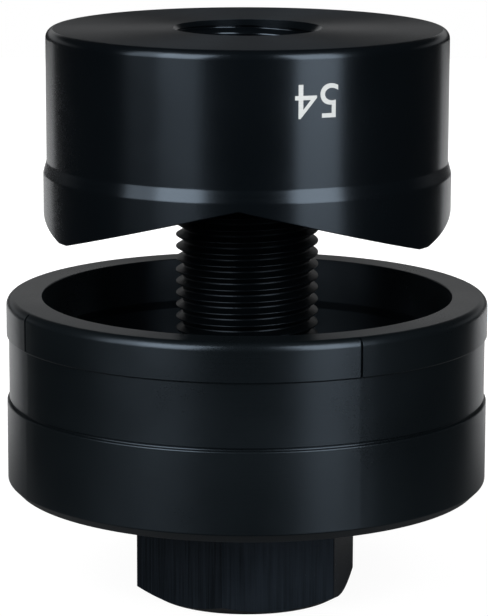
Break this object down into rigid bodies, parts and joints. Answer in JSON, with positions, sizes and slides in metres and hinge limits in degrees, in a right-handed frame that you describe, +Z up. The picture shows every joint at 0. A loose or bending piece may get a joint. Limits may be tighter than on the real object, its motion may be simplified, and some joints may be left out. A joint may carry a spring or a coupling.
{
  "type": "knockout punch",
  "caption": "Screw-drawn knockout punch for round holes in sheet metal: toothed punch, cup-shaped die and hex draw bolt on a thrust ball bearing.",
  "frame": {"origin": "on the tool's axis, at the underside of the draw bolt's hexagon head, on which the tool stands", "axes": "+Z up along the bolt, from the head through the die to the punch; -Y faces the camera of the picture"},
  "size_m": [0.0644, 0.0644, 0.0767],
  "materials": {
    "punch_steel": "turned tool steel, black oxide, lightly oiled",
    "die_steel": "turned tool steel, black oxide, satin",
    "bolt_steel": "turned steel with a rolled thread, black oxide, satin",
    "bearing_steel": "ground bearing steel",
    "cage_brass": "turned brass, bare",
    "ball_steel": "polished bearing steel"
  },
  "bodies": {
    "die_body": {"die": "die_steel", "housing_washer": "bearing_steel"},
    "bolt_body": {"draw_bolt": "bolt_steel", "shaft_washer": "bearing_steel"},
    "cage_body": {"ball_cage": "cage_brass"},
    "ball_01_body": {"ball_01": "ball_steel"},
    "ball_02_body": {"ball_02": "ball_steel"},
    "ball_03_body": {"ball_03": "ball_steel"},
    "ball_04_body": {"ball_04": "ball_steel"},
    "ball_05_body": {"ball_05": "ball_steel"},
    "ball_06_body": {"ball_06": "ball_steel"},
    "ball_07_body": {"ball_07": "ball_steel"},
    "ball_08_body": {"ball_08": "ball_steel"},
    "ball_09_body": {"ball_09": "ball_steel"},
    "ball_10_body": {"ball_10": "ball_steel"},
    "ball_11_body": {"ball_11": "ball_steel"},
    "ball_12_body": {"ball_12": "ball_steel"},
    "ball_13_body": {"ball_13": "ball_steel"},
    "ball_14_body": {"ball_14": "ball_steel"},
    "punch_body": {"punch": "punch_steel"}
  },
  "joints": [
    {"name": "punch_slide", "type": "slide", "parent": "die_body", "child": "punch_body", "axis": [0, 0, 1], "range_m": [-0.018, 0.016]},
    {"name": "bolt_turn", "type": "hinge", "parent": "die_body", "child": "bolt_body", "pos_m": [0, 0, 0], "axis": [0, 0, 1], "range_deg": [-3628.36, 4081.9]},
    {"name": "cage_turn", "type": "hinge", "parent": "die_body", "child": "cage_body", "pos_m": [0, 0, 0.01805], "axis": [0, 0, 1], "range_deg": [-1814.18, 2040.95]},
    {"name": "ball_roll_01", "type": "hinge", "parent": "cage_body", "child": "ball_01_body", "pos_m": [0.01375, 0, 0.01805], "axis": [1, 0, 0], "range_deg": [-10476.65, 11786.23]},
    {"name": "ball_roll_02", "type": "hinge", "parent": "cage_body", "child": "ball_02_body", "pos_m": [0.01239, 0.00597, 0.01805], "axis": [0.901, 0.4339, 0], "range_deg": [-10476.65, 11786.23]},
    {"name": "ball_roll_03", "type": "hinge", "parent": "cage_body", "child": "ball_03_body", "pos_m": [0.00857, 0.01075, 0.01805], "axis": [0.6235, 0.7818, 0], "range_deg": [-10476.65, 11786.23]},
    {"name": "ball_roll_04", "type": "hinge", "parent": "cage_body", "child": "ball_04_body", "pos_m": [0.00306, 0.01341, 0.01805], "axis": [0.2225, 0.9749, 0], "range_deg": [-10476.65, 11786.23]},
    {"name": "ball_roll_05", "type": "hinge", "parent": "cage_body", "child": "ball_05_body", "pos_m": [-0.00306, 0.01341, 0.01805], "axis": [-0.2225, 0.9749, 0], "range_deg": [-10476.65, 11786.23]},
    {"name": "ball_roll_06", "type": "hinge", "parent": "cage_body", "child": "ball_06_body", "pos_m": [-0.00857, 0.01075, 0.01805], "axis": [-0.6235, 0.7818, 0], "range_deg": [-10476.65, 11786.23]},
    {"name": "ball_roll_07", "type": "hinge", "parent": "cage_body", "child": "ball_07_body", "pos_m": [-0.01239, 0.00597, 0.01805], "axis": [-0.901, 0.4339, 0], "range_deg": [-10476.65, 11786.23]},
    {"name": "ball_roll_08", "type": "hinge", "parent": "cage_body", "child": "ball_08_body", "pos_m": [-0.01375, 0, 0.01805], "axis": [-1, 0, 0], "range_deg": [-10476.65, 11786.23]},
    {"name": "ball_roll_09", "type": "hinge", "parent": "cage_body", "child": "ball_09_body", "pos_m": [-0.01239, -0.00597, 0.01805], "axis": [-0.901, -0.4339, 0], "range_deg": [-10476.65, 11786.23]},
    {"name": "ball_roll_10", "type": "hinge", "parent": "cage_body", "child": "ball_10_body", "pos_m": [-0.00857, -0.01075, 0.01805], "axis": [-0.6235, -0.7818, 0], "range_deg": [-10476.65, 11786.23]},
    {"name": "ball_roll_11", "type": "hinge", "parent": "cage_body", "child": "ball_11_body", "pos_m": [-0.00306, -0.01341, 0.01805], "axis": [-0.2225, -0.9749, 0], "range_deg": [-10476.65, 11786.23]},
    {"name": "ball_roll_12", "type": "hinge", "parent": "cage_body", "child": "ball_12_body", "pos_m": [0.00306, -0.01341, 0.01805], "axis": [0.2225, -0.9749, 0], "range_deg": [-10476.65, 11786.23]},
    {"name": "ball_roll_13", "type": "hinge", "parent": "cage_body", "child": "ball_13_body", "pos_m": [0.00857, -0.01075, 0.01805], "axis": [0.6235, -0.7818, 0], "range_deg": [-10476.65, 11786.23]},
    {"name": "ball_roll_14", "type": "hinge", "parent": "cage_body", "child": "ball_14_body", "pos_m": [0.01239, -0.00597, 0.01805], "axis": [0.901, -0.4339, 0], "range_deg": [-10476.65, 11786.23]}
  ],
  "couplings": [
    {"joint": "bolt_turn", "follows": "punch_slide", "rad_per_m": -3957.9},
    {"joint": "cage_turn", "follows": "punch_slide", "rad_per_m": -1979},
    {"joint": "ball_roll_01", "follows": "punch_slide", "rad_per_m": -11428},
    {"joint": "ball_roll_02", "follows": "punch_slide", "rad_per_m": -11428},
    {"joint": "ball_roll_03", "follows": "punch_slide", "rad_per_m": -11428},
    {"joint": "ball_roll_04", "follows": "punch_slide", "rad_per_m": -11428},
    {"joint": "ball_roll_05", "follows": "punch_slide", "rad_per_m": -11428},
    {"joint": "ball_roll_06", "follows": "punch_slide", "rad_per_m": -11428},
    {"joint": "ball_roll_07", "follows": "punch_slide", "rad_per_m": -11428},
    {"joint": "ball_roll_08", "follows": "punch_slide", "rad_per_m": -11428},
    {"joint": "ball_roll_09", "follows": "punch_slide", "rad_per_m": -11428},
    {"joint": "ball_roll_10", "follows": "punch_slide", "rad_per_m": -11428},
    {"joint": "ball_roll_11", "follows": "punch_slide", "rad_per_m": -11428},
    {"joint": "ball_roll_12", "follows": "punch_slide", "rad_per_m": -11428},
    {"joint": "ball_roll_13", "follows": "punch_slide", "rad_per_m": -11428},
    {"joint": "ball_roll_14", "follows": "punch_slide", "rad_per_m": -11428}
  ]
}
